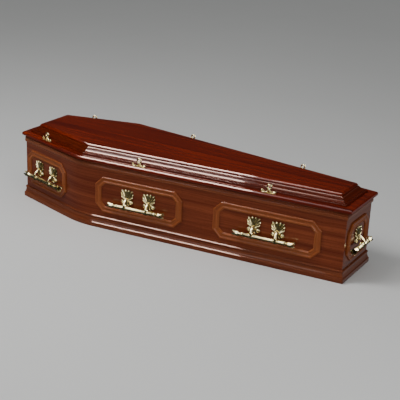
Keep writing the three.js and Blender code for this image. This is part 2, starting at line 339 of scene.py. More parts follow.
def mathNode(tree, operation, first, second, clamp=False):
    node = addNode(tree, "ShaderNodeMath", operation=operation, use_clamp=clamp)
    for socket, value in zip(node.inputs, (first, second)):
        if isinstance(value, (int, float)):
            socket.default_value = value
        else:
            tree.links.new(value, socket)
    return node.outputs[0]


def rangeNode(tree, value, low, high, outLow=0.0, outHigh=1.0, smooth=True):
    node = addNode(tree, "ShaderNodeMapRange", interpolation_type="SMOOTHSTEP" if smooth else "LINEAR")
    tree.links.new(value, node.inputs["Value"])
    for label, number in zip(("From Min", "From Max", "To Min", "To Max"), (low, high, outLow, outHigh)):
        node.inputs[label].default_value = number
    return node.outputs["Result"]


def noiseNode(tree, vector, scale, detail, roughness=0.5):
    node = addNode(tree, "ShaderNodeTexNoise")
    tree.links.new(vector, node.inputs["Vector"])
    node.inputs["Scale"].default_value = scale
    node.inputs["Detail"].default_value = detail
    node.inputs["Roughness"].default_value = roughness
    return node.outputs["Fac"]


def stretched(tree, vector, along, across):
    node = addNode(tree, "ShaderNodeVectorMath", operation="MULTIPLY")
    tree.links.new(vector, node.inputs[0])
    node.inputs[1].default_value = (along, across, 1.0)
    return node.outputs[0]


def mixColors(tree, factor, first, second):
    node = addNode(tree, "ShaderNodeMix", data_type="RGBA")
    for socket, value in ((node.inputs[0], factor), (node.inputs[6], first), (node.inputs[7], second)):
        if isinstance(value, tuple):
            socket.default_value = (*value, 1.0)
        else:
            tree.links.new(value, socket)
    return node.outputs[2]


grainSet = {
    # how often the pattern comes per metre, along the grain and across it
    "bend": (1.2, 5.0),
    "ribbons": (0.5, 34.0),
    "broad": (0.9, 7.0),
    "streaks": (4.0, 260.0),
    "pores": (55.0, 1500.0),
    "sway": 0.06,  # metres that the bend moves the lines sideways
    "ribbonShare": 0.62,
    "figureRange": (0.3, 0.7),
    "streakRange": (0.3, 0.72),
    "poreRange": (0.6, 0.72),
}


def makeGrainGroup(values):
    group, entry, result = newGroup(
        "woodGrain",
        [("Vector", "NodeSocketVector")],
        [("Figure", "NodeSocketFloat"), ("Streaks", "NodeSocketFloat"), ("Pores", "NodeSocketFloat")],
    )
    vector = entry.outputs["Vector"]
    bend = noiseNode(group, stretched(group, vector, *values["bend"]), 1.0, 2.0)
    shift = addNode(group, "ShaderNodeVectorMath", operation="MULTIPLY_ADD")
    combine = addNode(group, "ShaderNodeCombineXYZ")
    group.links.new(mathNode(group, "SUBTRACT", bend, 0.5), combine.inputs["Y"])
    group.links.new(combine.outputs[0], shift.inputs[0])
    shift.inputs[1].default_value = (0, values["sway"], 0)
    group.links.new(vector, shift.inputs[2])
    bent = shift.outputs[0]
    ribbons = noiseNode(group, stretched(group, bent, *values["ribbons"]), 1.0, 2.0)
    broad = noiseNode(group, stretched(group, bent, *values["broad"]), 1.0, 2.0)
    ribbonPart = mathNode(group, "MULTIPLY", ribbons, values["ribbonShare"])
    broadPart = mathNode(group, "MULTIPLY", broad, 1 - values["ribbonShare"])
    figure = mathNode(group, "ADD", ribbonPart, broadPart)
    group.links.new(rangeNode(group, figure, *values["figureRange"]), result.inputs["Figure"])
    fine = noiseNode(group, stretched(group, bent, *values["streaks"]), 1.0, 3.0, 0.6)
    group.links.new(rangeNode(group, fine, *values["streakRange"]), result.inputs["Streaks"])
    pores = noiseNode(group, stretched(group, bent, *values["pores"]), 1.0, 1.0)
    group.links.new(rangeNode(group, pores, *values["poreRange"]), result.inputs["Pores"])
    return group


grainGroup = makeGrainGroup(grainSet)

lacquerSet = {"waveScale": 46.0}


def makeLacquerGroup(values):
    group, entry, result = newGroup(
        "lacquerWaves",
        [("Vector", "NodeSocketVector")],
        [("Ripple", "NodeSocketFloat")],
    )
    waves = noiseNode(group, entry.outputs["Vector"], values["waveScale"], 2.0)
    group.links.new(waves, result.inputs["Ripple"])
    return group


lacquerGroup = makeLacquerGroup(lacquerSet)


def groupNode(tree, group, vector):
    node = addNode(tree, "ShaderNodeGroup", node_tree=group)
    tree.links.new(vector, node.inputs["Vector"])
    return node


def newMaterial(name):
    material = bpy.data.materials.new(name)
    material.use_nodes = True
    tree = material.node_tree
    return material, tree, tree.nodes["Principled BSDF"]


def bumpNode(tree, height, strength, distance):
    node = addNode(tree, "ShaderNodeBump")
    node.inputs["Strength"].default_value = strength
    node.inputs["Distance"].default_value = distance
    tree.links.new(height, node.inputs["Height"])
    return node.outputs[0]


def alongGrain(tree, place, axes):
    split = addNode(tree, "ShaderNodeSeparateXYZ")
    joined = addNode(tree, "ShaderNodeCombineXYZ")
    tree.links.new(place, split.inputs[0])
    for socket, axis in zip(joined.inputs, axes):
        tree.links.new(split.outputs[axis], socket)
    return joined.outputs[0]


def makeWood(name, values, axes=None):
    material, tree, shader = newMaterial(name)
    places = addNode(tree, "ShaderNodeTexCoord")
    # boards carried over from the frame have no UV map, so their axes are named, the grain's first
    vector = alongGrain(tree, places.outputs["Object"], axes) if axes else places.outputs["UV"]
    grain = groupNode(tree, grainGroup, vector)
    waves = groupNode(tree, lacquerGroup, places.outputs["Object"])
    streaks, pores = grain.outputs["Streaks"], grain.outputs["Pores"]
    color = mixColors(tree, grain.outputs["Figure"], values["dark"], values["light"])
    color = mixColors(tree, mathNode(tree, "MULTIPLY", streaks, values["streaks"]), color, values["streak"])
    color = mixColors(tree, mathNode(tree, "MULTIPLY", pores, values["pores"]), color, values["pore"])
    tree.links.new(color, shader.inputs["Base Color"])
    smooth = values["roughness"]
    rough = rangeNode(tree, streaks, 0.0, 1.0, smooth, smooth + 0.1, False)
    tree.links.new(rough, shader.inputs["Roughness"])
    shader.inputs["Specular IOR Level"].default_value = values["specular"]
    shader.inputs["Coat Weight"].default_value = values["lacquer"]
    shader.inputs["Coat Roughness"].default_value = values["lacquerRoughness"]
    shader.inputs["Coat IOR"].default_value = values["lacquerIor"]
    ripple = mathNode(tree, "MULTIPLY", waves.outputs["Ripple"], values["ripple"])
    height = mathNode(tree, "ADD", ripple, mathNode(tree, "MULTIPLY", streaks, values["relief"]))
    height = mathNode(tree, "SUBTRACT", height, mathNode(tree, "MULTIPLY", pores, values["relief"]))
    tree.links.new(bumpNode(tree, height, 1.0, mm), shader.inputs["Normal"])
    tree.links.new(bumpNode(tree, ripple, 1.0, mm), shader.inputs["Coat Normal"])
    return material


topWoodSet = {
    "dark": (0.075, 0.005, 0.0015),
    "light": (0.21, 0.02, 0.004),
    "streak": (0.03, 0.002, 0.001),
    "streaks": 0.4,
    "pore": (0.015, 0.002, 0.001),
    "pores": 0.5,
    "roughness": 0.5,
    "specular": 0.0,
    "lacquer": 1.0,
    "lacquerRoughness": 0.05,
    "lacquerIor": 1.25,
    "ripple": 0.005,
    "relief": 0.04,
}
# the side copy is painted lighter and greyer than the top, as painted reflection standing in for the floor's
# sheen on the walls
sideWoodSet = {
    **topWoodSet,
    "dark": (0.1, 0.017, 0.007),
    "light": (0.24, 0.057, 0.02),
    "streak": (0.03, 0.003, 0.001),
}
# the neck copy is painted lighter, offsetting the shade under the lid's overhang
neckWoodSet = {
    **topWoodSet,
    "dark": (0.14, 0.03, 0.012),
    "light": (0.29, 0.087, 0.033),
    "lacquerRoughness": 0.07,
}
plinthWoodSet = {
    **topWoodSet,
    "dark": (0.11, 0.023, 0.009),
    "light": (0.23, 0.066, 0.025),
    "lacquerRoughness": 0.07,
}
# the lid moulding copy is painted darker than the top, as painted shade offsetting the key lamp's light on
# it
lidMouldingWoodSet = {
    **topWoodSet,
    "dark": (0.055, 0.005, 0.0012),
    "light": (0.15, 0.02, 0.004),
    "lacquerRoughness": 0.06,
}
# the frame copy is painted lighter and greyer, offsetting the shade below the handles and standing in for
# sheen
frameWoodSet = {
    **topWoodSet,
    "dark": (0.215, 0.051, 0.016),
    "light": (0.375, 0.119, 0.037),
    "streak": (0.09, 0.02, 0.005),
    "lacquer": 0.9,
    "lacquerRoughness": 0.16,
}
boardWoodSet = {
    **topWoodSet,
    "dark": (0.34, 0.2, 0.1),
    "light": (0.55, 0.38, 0.22),
    "streak": (0.28, 0.16, 0.08),
    "pore": (0.16, 0.09, 0.05),
    "roughness": 0.7,
    "lacquer": 0.0,
    "relief": 0.2,
}
topWood = makeWood("topWood", topWoodSet)
sideWood = makeWood("sideWood", sideWoodSet)
neckWood = makeWood("neckWood", neckWoodSet)
plinthWood = makeWood("plinthWood", plinthWoodSet)
lidMouldingWood = makeWood("lidMouldingWood", lidMouldingWoodSet)
frameWood = makeWood("frameWood", frameWoodSet)
endWood = makeWood("endWood", sideWoodSet, "YZX")
boardWood = makeWood("boardWood", boardWoodSet, "XYZ")

brassSet = {
    "bright": (0.98, 0.86, 0.5),
    "warm": (0.88, 0.7, 0.3),
    # the dark colour is painted shade for the brass's creases, grooves, rims and cup insides
    "dull": (0.07, 0.05, 0.015),
    "roughness": 0.1,
    "dullRoughness": 0.5,
    "warmRange": (0.35, 0.7),
    "patchRange": (0.2, 0.6),
    "faintShadePart": 0.7,  # how much of the painted shade is left where a patch is faint
    "cloudScale": 60.0,
    "gritScale": 900.0,
    "gritRoughness": 0.06,
    "bump": 0.35,
    "bumpDepth": 0.0004,
}


def makeBrass(values):
    material, tree, shader = newMaterial("brightBrass")
    places = addNode(tree, "ShaderNodeTexCoord")
    paintedShade = addNode(tree, "ShaderNodeAttribute", attribute_name="paintedShade")
    clouds = noiseNode(tree, places.outputs["Object"], values["cloudScale"], 4.0, 0.6)
    grit = noiseNode(tree, places.outputs["Object"], values["gritScale"], 2.0)
    color = mixColors(tree, rangeNode(tree, clouds, *values["warmRange"]), values["bright"], values["warm"])
    patches = rangeNode(tree, clouds, *values["patchRange"], values["faintShadePart"], 1.0)
    # painted shade: the brass is darkened, in patches, where the mesh's painted-shade layer marks it, and
    # made rougher there
    patchyShade = mathNode(tree, "MULTIPLY", paintedShade.outputs["Fac"], patches, True)
    color = mixColors(tree, patchyShade, color, values["dull"])
    tree.links.new(color, shader.inputs["Base Color"])
    shader.inputs["Metallic"].default_value = 1.0
    rough = rangeNode(tree, patchyShade, 0.0, 1.0, values["roughness"], values["dullRoughness"], False)
    rough = mathNode(tree, "ADD", rough, mathNode(tree, "MULTIPLY", grit, values["gritRoughness"]))
    tree.links.new(rough, shader.inputs["Roughness"])
    height = mathNode(tree, "ADD", grit, clouds)
    tree.links.new(bumpNode(tree, height, values["bump"], values["bumpDepth"]), shader.inputs["Normal"])
    return material


brass = makeBrass(brassSet)
print("materials made")

boxSet = {"wallTop": 345.7, "edge": 0.8}


def makeBoards(values):
    wall = planSet["wall"]
    edge = values["edge"]
    top = values["wallTop"]
    profile = rounded([(-wall, 0, 0), (0, 0, 0), (0, top, edge), (-wall, top, edge)])
    square = flat(0, 1)
    foot, shoulder, head, leftHead, leftShoulder, leftFoot = bodyPlan
    for name, stations in (
        ("right", bentSide(foot, shoulder, head, square, square)),
        ("left", bentSide(leftHead, leftShoulder, leftFoot, square, square)),
    ):
        bm = bmesh.new()
        sweep(bm, stations, profile)
        finishMesh("sideBoard" + name.capitalize(), bm, ["side_board_" + name], sideWood)
    for node, material in (("head_board", endWood), ("foot_board", endWood), ("base_board", boardWood)):
        carried = frame["nodes"][node]  # plain boards, shown as they are
        carried.data.materials.clear()
        carried.data.materials.append(material)


makeBoards(boxSet)

# Moulding profiles are outlines of (distance out from the wall or edge, height, radius of the corner).
plinthSet = {
    "profile": [
        (gap, 0, 0), (11.5, 0, 0), (13, 3, 1.2), (13, 21.3, 1.2), (9, 26.5, 1), (8.5, 30, 0.8),
        (6, 36, 5), (4.5, 44, 6), (4.5, 50, 0.8), (6.5, 52, 1.2), (6.5, 57, 1.2), (2.8, 61.8, 1),
        (gap, 62, 0),
    ],
}
neckSet = {
    "profile": [
        (gap, 345.7, 0), (1.5, 345.7, 0), (1.5, 340.7, 3), (3.5, 337.7, 0.6), (6.5, 335.2, 1.4),
        (6.5, 331.7, 0.8), (3.5, 330.2, 0.5), (3.5, 328.2, 0.4), (6, 325.7, 0.8), (5, 312.7, 1),
        (2.5, 309.7, 0.8), (gap, 309.7, 0),
    ],
}


def makeSurround(name, node, values, material):
    cuts = [mitre(bodyPlan, i) for i in range(6)]
    foot, shoulder, head, leftHead, leftShoulder, leftFoot = bodyPlan
    profile = rounded(values["profile"])
    for side, stations in (
        ("right", bentSide(foot, shoulder, head, cuts[0], cuts[2])),
        ("left", bentSide(leftHead, leftShoulder, leftFoot, cuts[3], cuts[5])),
        ("head", straight(bodyPlan, 2)),
        ("foot", straight(bodyPlan, 5)),
    ):
        bm = bmesh.new()
        sweep(bm, stations, profile)
        finishMesh(name + side.capitalize(), bm, [node + "_" + side], material)


makeSurround("plinth", "plinth", plinthSet, plinthWood)
makeSurround("neckMoulding", "neck_moulding", neckSet, neckWood)
print("box made")

lidSet = {
    "edgeRadius": 2.5,
    "chamfer": (6, 5),  # across the top of the lid's edge, and down it
    "mouldingWidth": 58,
    "mouldingBase": 364.3,
    "profile": [
        (0, 0, 0), (0, 4, 0.8), (-2, 7, 1.5), (-6, 9, 1), (-11, 9.5, 0.8), (-12, 11, 0.6), (-18, 13.5, 5),
        (-23.5, 17.5, 5), (-28, 23, 1), (-30, 26, 0.8), (-33, 26, 0.6), (-33.6, 29, 1.5), (-36.5, 31.5, 2),
        (-41, 32.7, 2), (-58, 32.7, 0), (-58, 0, 0),
    ],
    "nose": [
        (-41, 397.3), (-38.6, 398.6), (-38, 400.7), (-39.6, 403.5), (-43.2, 407.1), (-47.4, 409.9),
        (-52, 411),
    ],
}


def ring(outline, offset, height):
    mitres = [mitre(outline, i) for i in range(len(outline))]
    return [(at.x + out.x * offset, at.y + out.y * offset, height) for at, out in zip(outline, mitres)]


def makeLidBoard(values):
    top = planSet["lidTop"]
    low = top - planSet["lidThickness"]
    width = values["mouldingWidth"]
    radius = values["edgeRadius"]
    across, down = values["chamfer"]
    bm = bmesh.new()
    edge = [(0, low, radius), (0, top - down, radius), (-across, top, radius)]
    outer = rounded([(-width, low, 0)] + edge + [(-width, top, 0)], 6)[1:-1]
    rings = [ring(lidPlan, x, z) for x, z in outer]
    hole = inset(raisedPlan, width, width)
    rings += [ring(hole, 0, top), ring(hole, 0, low), rings[0]]
    loft(bm, rings, caps=False)
    bmesh.ops.remove_doubles(bm, verts=bm.verts, dist=weld)
    bmesh.ops.recalc_face_normals(bm, faces=bm.faces)
    planarCoords(bm)
    finishMesh("lidBoard", bm, ["lid_board"], topWood)


def makeLidMoulding(values):
    names = ["right_long", "right_short", "head", "left_short", "left_long", "foot"]
    profile = [(x, z + values["mouldingBase"]) for x, z in rounded(values["profile"])]
    for i, name in enumerate(names):
        bm = bmesh.new()
        sweep(bm, straight(raisedPlan, i), profile)
        label = "lidMoulding" + "".join(word.capitalize() for word in name.split("_"))
        finishMesh(label, bm, ["lid_moulding_" + name], lidMouldingWood)


def makeLidPanel(values):
    bm = bmesh.new()
    nose = curveThrough([flat(*point) for point in values["nose"]], 4)
    loft(bm, [ring(raisedPlan, x, z) for x, z in nose])
    bmesh.ops.recalc_face_normals(bm, faces=bm.faces)
    planarCoords(bm)
    finishMesh("lidPanel", bm, ["lid_panel"], topWood)


makeLidBoard(lidSet)
makeLidMoulding(lidSet)
makeLidPanel(lidSet)
print("lid made")

panelSet = {
    "height": 189,
    "clip": 42,  # off each corner, both ways
    "centre": 181.5,
    "endWidth": 235,
    "profile": [
        (0, 0.3, 0), (0, 5, 1), (-3, 8, 2.5), (-8, 8, 2.5), (-11, 5.6, 1.2), (-14, 4.4, 3), (-21, 4.2, 2),
        (-23, 6, 0.8), (-27, 7, 2), (-34, 3, 0.8), (-34, 0.3, 0),
    ],
}
# (wall, distance from the shoulder, length of the panel)
panelSpots = [("short", 293, 347), ("long", 336, 486), ("long", 1017, 545)]
wreathSpots = [("short", 297), ("long", 337), ("long", 1019)]


def wallSpot(outline, facing, wall, distance):
    foot, shoulder, head = outline[:3]
    far = foot if wall == "long" else head
    at = shoulder + direction(shoulder, far) * distance
    normal = outward(foot, shoulder) if wall == "long" else outward(shoulder, head)
    return flat(at.x, -facing * at.y), flat(normal.x, -facing * normal.y)


def onWall(at, normal, height):
    out = Vector((normal.x, normal.y, 0))
    up = Vector((0, 0, 1))
    along = up.cross(out)
    place = Matrix((along, up, out)).transposed().to_4x4()
    return Matrix.Translation(Vector((at.x, at.y, height)) * mm) @ place


def panelFrame(name, node, length, place):
    x, y, c = length / 2, panelSet["height"] / 2, panelSet["clip"]
    octagon = [
        flat(-x + c, y), flat(x - c, y), flat(x, y - c), flat(x, -y + c),
        flat(x - c, -y), flat(-x + c, -y), flat(-x, -y + c), flat(-x, y - c),
    ]
    profile = rounded(panelSet["profile"])
    bm = bmesh.new()
    for i in range(8):
        start, end = octagon[i], octagon[(i + 1) % 8]
        sweep(bm, [
            (start, cutVector(mitre(octagon, i), outward(start, end))),
            (end, cutVector(mitre(octagon, i + 1), outward(start, end))),
        ], profile)
    bmesh.ops.transform(bm, matrix=place, verts=bm.verts)
    finishMesh(name, bm, [node], frameWood)


def placedPieces():
    for side, facing in (("right", -1), ("left", 1)):
        for i, (wall, distance, length) in enumerate(panelSpots):
            at, normal = wallSpot(bodyPlan, facing, wall, distance)
            yield f"{side}_{i + 1}", length, at, normal
    for end, facing in (("head", -1), ("foot", 1)):
        yield end, panelSet["endWidth"], flat(facing * bodyPlan[0].x, 0), flat(facing, 0)


for label, length, at, normal in placedPieces():
    panelFrame("panelFrame_" + label, "panel_frame_" + label, length, onWall(at, normal, panelSet["centre"]))
print("panel frames made")


def tube(bm, path, radii, side, squash=1.0, segments=12, paintedShade=0.0):
    rows = []  # side stays across the path, and squash thins the tube the other way
    for i, at in enumerate(path):
        along = (path[min(i + 1, len(path) - 1)] - path[max(i - 1, 0)]).normalized()
        across = (side - along * side.dot(along)).normalized()
        over = along.cross(across)
        radius = radii(i / (len(path) - 1))
        angles = [2 * math.pi * k / segments for k in range(segments)]
        rows.append([at + (across * math.cos(a) + over * math.sin(a) * squash) * radius for a in angles])
    # every ring of the tube carries the same painted shade
    loft(bm, rows, paintedShades=[[paintedShade] * segments for _ in rows])


def turned(bm, profile, segments, shape=None):
    rows, paintedShades = [], []  # turned about X; the profile's points are (x, radius, painted shade)
    for k in range(segments):
        angle = 2 * math.pi * k / segments
        row = []
        for x, radius, _ in profile:
            if shape:
                x, radius = shape(x, radius, angle)
            row.append(Vector((x, radius * math.cos(angle), radius * math.sin(angle))))
        rows.append(row)
        paintedShades.append([h for _, _, h in profile])
    rows.append(rows[0])
    paintedShades.append(paintedShades[0])
    loft(bm, rows, closed=False, caps=False, paintedShades=paintedShades)


leafSet = {
    "root": (0, -8),
    # right half from the top down: notch, tip, notch, tip and so on, with a round curl last
    "edge": [
        (0, 39), (10, 45), (17, 38), (30, 41), (28, 31), (35, 23), (28, 15), (32, 6), (22, -5),
        (33, -22), (17, -35), (8, -38), (0, -30),
    ],
    "lobeSteps": 16,
    "lobeFullness": 2.3,
    "rows": 22,
    "heights": [(0, 9.2), (0.35, 7.6), (0.6, 5.8), (0.85, 4.2), (1, 2.4)],  # from the root to the edge
    "edgeHeight": 0.4,
    "crest": 3.8,
    "ribs": 1,
    "ribHeight": 1.5,
    "tipBulge": 2.2,
    "bulgePlace": 0.88,
    "bulgeWidth": 0.08,
    # painted shade: how much darker the creases between lobes, the grooves and the rim are painted
    "creaseShade": 1.7,
    "grooveShade": 0.6,
    "rimShade": 0.5,
    "curlRoot": [(6, -3, 6), (12, -8, 6)],
    "curlCentre": (21, -22, 4.6),
    "curlRise": 2.6,
    "curlTurn": 520,
    "curlRadius": 8.2,
    "curlTube": 3.5,
}
handleSet = {
    "plateHeight": 188,
    "barHeight": 145,
    "standOff": 28,
    "barRadius": 10,
    "barLength": 312,
    "endBarLength": 200,
    "plateSpacing": 122,
    "capLength": 46,
    "capRadius": 15.7,
    "petals": 6,
    "petalStart": 0.3,  # part of the cap's length
    "petalSwell": 0.09,
    "petalNotch": 0.62,
    "notchDrop": 0.12,
    "armPath": [(3, 6), (0, 15), (-6, 25), (-14, 33.5), (-23, 38.6), (-33, 40.2)],
    "armTurns": (20, -5, -35, -65, -100, -135, -170, -205, -235),  # degrees round the bar
    "armGap": 2.2,
    "armRadius": (6.8, 5.4),
    "armSquash": 0.4,
    # shaft and cap: (from the cap's start, from the bar's radius, darkness of the painted shade)
    "capOutside": [
        (-8, 0, 0.35), (-7.5, 0.2, 0.9), (-6.5, 2.0, 0), (-4, 2.8, 0), (-1.5, 2.0, 0), (-0.5, -1, 0.9),
        (1, -2.2, 0.9), (4, -2.8, 0.2), (7, -1.8, 0), (10, 0.6, 0), (14, 2.4, 0), (19, 3.0, 0),
        (25, 2.6, 0), (31, 2.6, 0), (37, 3.4, 0),
    ],
    "capRim": [(-4, -0.8, 0), (0, 0, 0), (-0.6, -1.6, 0.3)],  # from the bar's end and the cap's radius
    # the inside of the cup is painted dark, as shade
    "capInside": [(38, 1.2, 0.6), (31, 0.4, 0.9), (24, -0.4, 1), (18, -2.4, 1), (15, -6, 1)],
    "capFloor": 14,
    "collarPlace": 9,  # either side of an arm
    # the collar's ends carry painted shade where they meet the bar
    "collar": [
        (-3.4, -0.5, 0.8), (-3.2, 1.0, 0.5), (-1.6, 2.0, 0), (0, 2.3, 0), (1.6, 2.0, 0), (3.2, 1.0, 0.5),
        (3.4, -0.5, 0.8),
    ],
}


def stepped(table, x):
    for (x0, y0), (x1, y1) in zip(table, table[1:]):
        if x <= x1:
            return mixed(y0, y1, (x - x0) / (x1 - x0))
    return table[-1][1]


def leafBorder(values):
    border = []  # (point on the edge, place across its lobe from 0 to 1), clockwise from the top
    edge = [flat(*point) for point in values["edge"]]
    for i in range(0, len(edge) - 2, 2):
        start, tip, end = edge[i:i + 3]
        for k in range(values["lobeSteps"]):
            u = k / values["lobeSteps"]
            bulge = 1 - abs(2 * u - 1) ** values["lobeFullness"]
            border.append((start.lerp(end, u) + (tip - start.lerp(end, 0.5)) * bulge, u))
    border.append((edge[-1], 0.0))
    mirrored = [(flat(-point.x, point.y), 1 - u if u else 0.0) for point, u in border[-2:0:-1]]
    return border + mirrored


def addLeaf(bm, values):
    root = flat(*values["root"])
    border = leafBorder(values)
    rows, paintedShades = [], []
    for i in range(values["rows"] + 1):
        s = 0.04 + 0.96 * i / values["rows"]
        row, dark = [], []
        for point, u in border:
            place = root.lerp(point, s)
            middle = math.sin(math.pi * u)
            wave = math.cos(2 * math.pi * values["ribs"] * u)
            height = stepped(values["heights"], s)
            height += values["crest"] * (middle ** 0.7 - 0.6) * s * (1.25 - s)
            height -= values["ribHeight"] * wave * eased((s - 0.2) * 2.5)
            bulge = math.exp(-(((s - values["bulgePlace"]) / values["bulgeWidth"]) ** 2)) * middle ** 2
            height += values["tipBulge"] * bulge
            row.append(Vector((place.x, place.y, max(1.2, height))))
            # painted shade in the creases, along the grooves and towards the rim
            crease = values["creaseShade"] * (1 - middle) ** 1.3
            groove = values["grooveShade"] * (0.5 + 0.5 * wave) ** 3 * eased(s * 3)
            rim = values["rimShade"] * eased((s - 0.93) * 14)
            dark.append(min(1.0, crease + groove + rim))
        rows.append(row)
        paintedShades.append(dark)
    # the edge row, where the leaf meets the wall, is painted fully dark as shade
    rows.append([Vector((point.x, point.y, values["edgeHeight"])) for point, _ in border])
    paintedShades.append([1.0] * len(border))
    loft(bm, rows, paintedShades=paintedShades)


def addScroll(bm, values, mirror):
    thick = values["curlTube"]
    centre = Vector(values["curlCentre"])
    path = [Vector(point) for point in values["curlRoot"]]
    for k in range(11):
        t = k / 10
        angle = math.radians(115 - values["curlTurn"] * t)
        reach = mixed(values["curlRadius"], 0.6, t ** 0.9)
        around = Vector((math.cos(angle) * reach, math.sin(angle) * reach, values["curlRise"] * t))
        path.append(centre + around)
    line = curveThrough([Vector((mirror * point.x, point.y, point.z)) for point in path], 4)
    tube(bm, line, lambda t: thick * (1.1 - 0.4 * t), Vector((0, 0, 1)), 1.0, 12, 0.1)


def addArm(bm, values):
    bar = Vector((0, values["barHeight"] - values["plateHeight"], values["standOff"]))
    reach = values["barRadius"] + values["armGap"]
    points = [Vector((0, y, z)) for y, z in values["armPath"]]
    for degrees in values["armTurns"]:
        angle = math.radians(degrees)
        points.append(bar + Vector((0, math.sin(angle), math.cos(angle))) * reach)

    def radii(t):
        return mixed(*values["armRadius"], eased(t * 2.6)) * (1 if t < 0.97 else 0.6)

    tube(bm, curveThrough(points, 5), radii, Vector((1, 0, 0)), values["armSquash"], 16)


def makePlate(name, node, place):
    bm = bmesh.new()
    addLeaf(bm, leafSet)
    for mirror in (-1, 1):
        addScroll(bm, leafSet, mirror)
    addArm(bm, handleSet)
    bmesh.ops.transform(bm, matrix=place, verts=bm.verts)
    finishMesh(name, bm, [node], brass, 50, False)


def capShape(values, sign, end):
    length = values["capLength"]
    count = values["petals"]
    whole = values["petalStart"]

    def shape(x, radius, angle):  # petals are cut into the outer part of the cap
        start = end - length
        away = (x - start) / length
        if away <= whole:
            return sign * x, radius
        phase = abs(((angle * count / (2 * math.pi)) % 1) - 0.5) * 2
        spread = (away - whole) / (1 - whole)
        notch = values["petalNotch"] * phase ** 2.2
        pulled = start + length * (whole + (1 - whole) * spread * (1 - notch))
        swell = values["petalSwell"] * (1 - phase ** 2) * spread
        drop = values["notchDrop"] * phase ** 4 * spread
        return sign * pulled, radius * (1 + swell - drop)

    return shape


def makeBar(name, node, values, length, arms, place):
    end = length / 2
    r = values["barRadius"]
    cap = end - values["capLength"]
    wide = values["capRadius"] / (1 + values["petalSwell"])
    # the shaft takes the first point's painted shade, so the whole shaft is painted darker
    profile = [(0, r, values["capOutside"][0][2])]
    profile += [(cap + x, r + y, dark) for x, y, dark in values["capOutside"]]
    profile += [(end + x, wide + y, dark) for x, y, dark in values["capRim"]]
    profile += [(cap + x, r + y, dark) for x, y, dark in values["capInside"]]
    profile.append((cap + values["capFloor"], 0.05, 1))
    bm = bmesh.new()
    for sign in (-1, 1):
        turned(bm, profile, 60, capShape(values, sign, end))
    for arm in arms:
        for sign in (-1, 1):
            middle = arm + sign * values["collarPlace"]
            turned(bm, [(middle + x, r + y, dark) for x, y, dark in values["collar"]], 40)
    bmesh.ops.remove_doubles(bm, verts=bm.verts, dist=weld)
    bmesh.ops.transform(bm, matrix=place, verts=bm.verts)
    finishMesh(name, bm, [node], brass, 50, False)


def makeHandle(label, values, length, plates, at, normal):
    wallPlace = onWall(at, normal, values["plateHeight"])
    for suffix, x in plates:
        shift = Matrix.Translation((x * mm, 0, 0))
        makePlate(f"handlePlate_{label}{suffix}", f"handle_plate_{label}{suffix}", wallPlace @ shift)
    drop = values["barHeight"] - values["plateHeight"]
    place = wallPlace @ Matrix.Translation((0, drop * mm, values["standOff"] * mm))
    makeBar("handleBar_" + label, "handle_bar_" + label, values, length, [x for _, x in plates], place)


spacing = handleSet["plateSpacing"] / 2
for label, _, at, normal in placedPieces():
    if label in ("head", "foot"):
        makeHandle(label, handleSet, handleSet["endBarLength"], [("", 0)], at, normal)
    else:
        makeHandle(label, handleSet, handleSet["barLength"], [("a", -spacing), ("b", spacing)], at, normal)
print("handles made")

wreathSet = {
    "inset": 20,
    "ringHeight": 29.5,
    "ringRadius": 10.2,
    "ringTube": 3.7,
    "knobHeight": 17,
    "knobRadius": 4.4,
    "legs": [(-1, 9), (1, 13)],  # side, and how far out the leg lands
    "footHalf": 34,
    "footWidth": 9,
    "footRipple": 1.6,
    "plateThickness": 2.6,
    "scrollRadius": 6.6,
    "scrollTurn": 470,
    "lobe": [(-20, 3.4), (-12, 5.4), (-4, 6), (2, 6.4)],
}


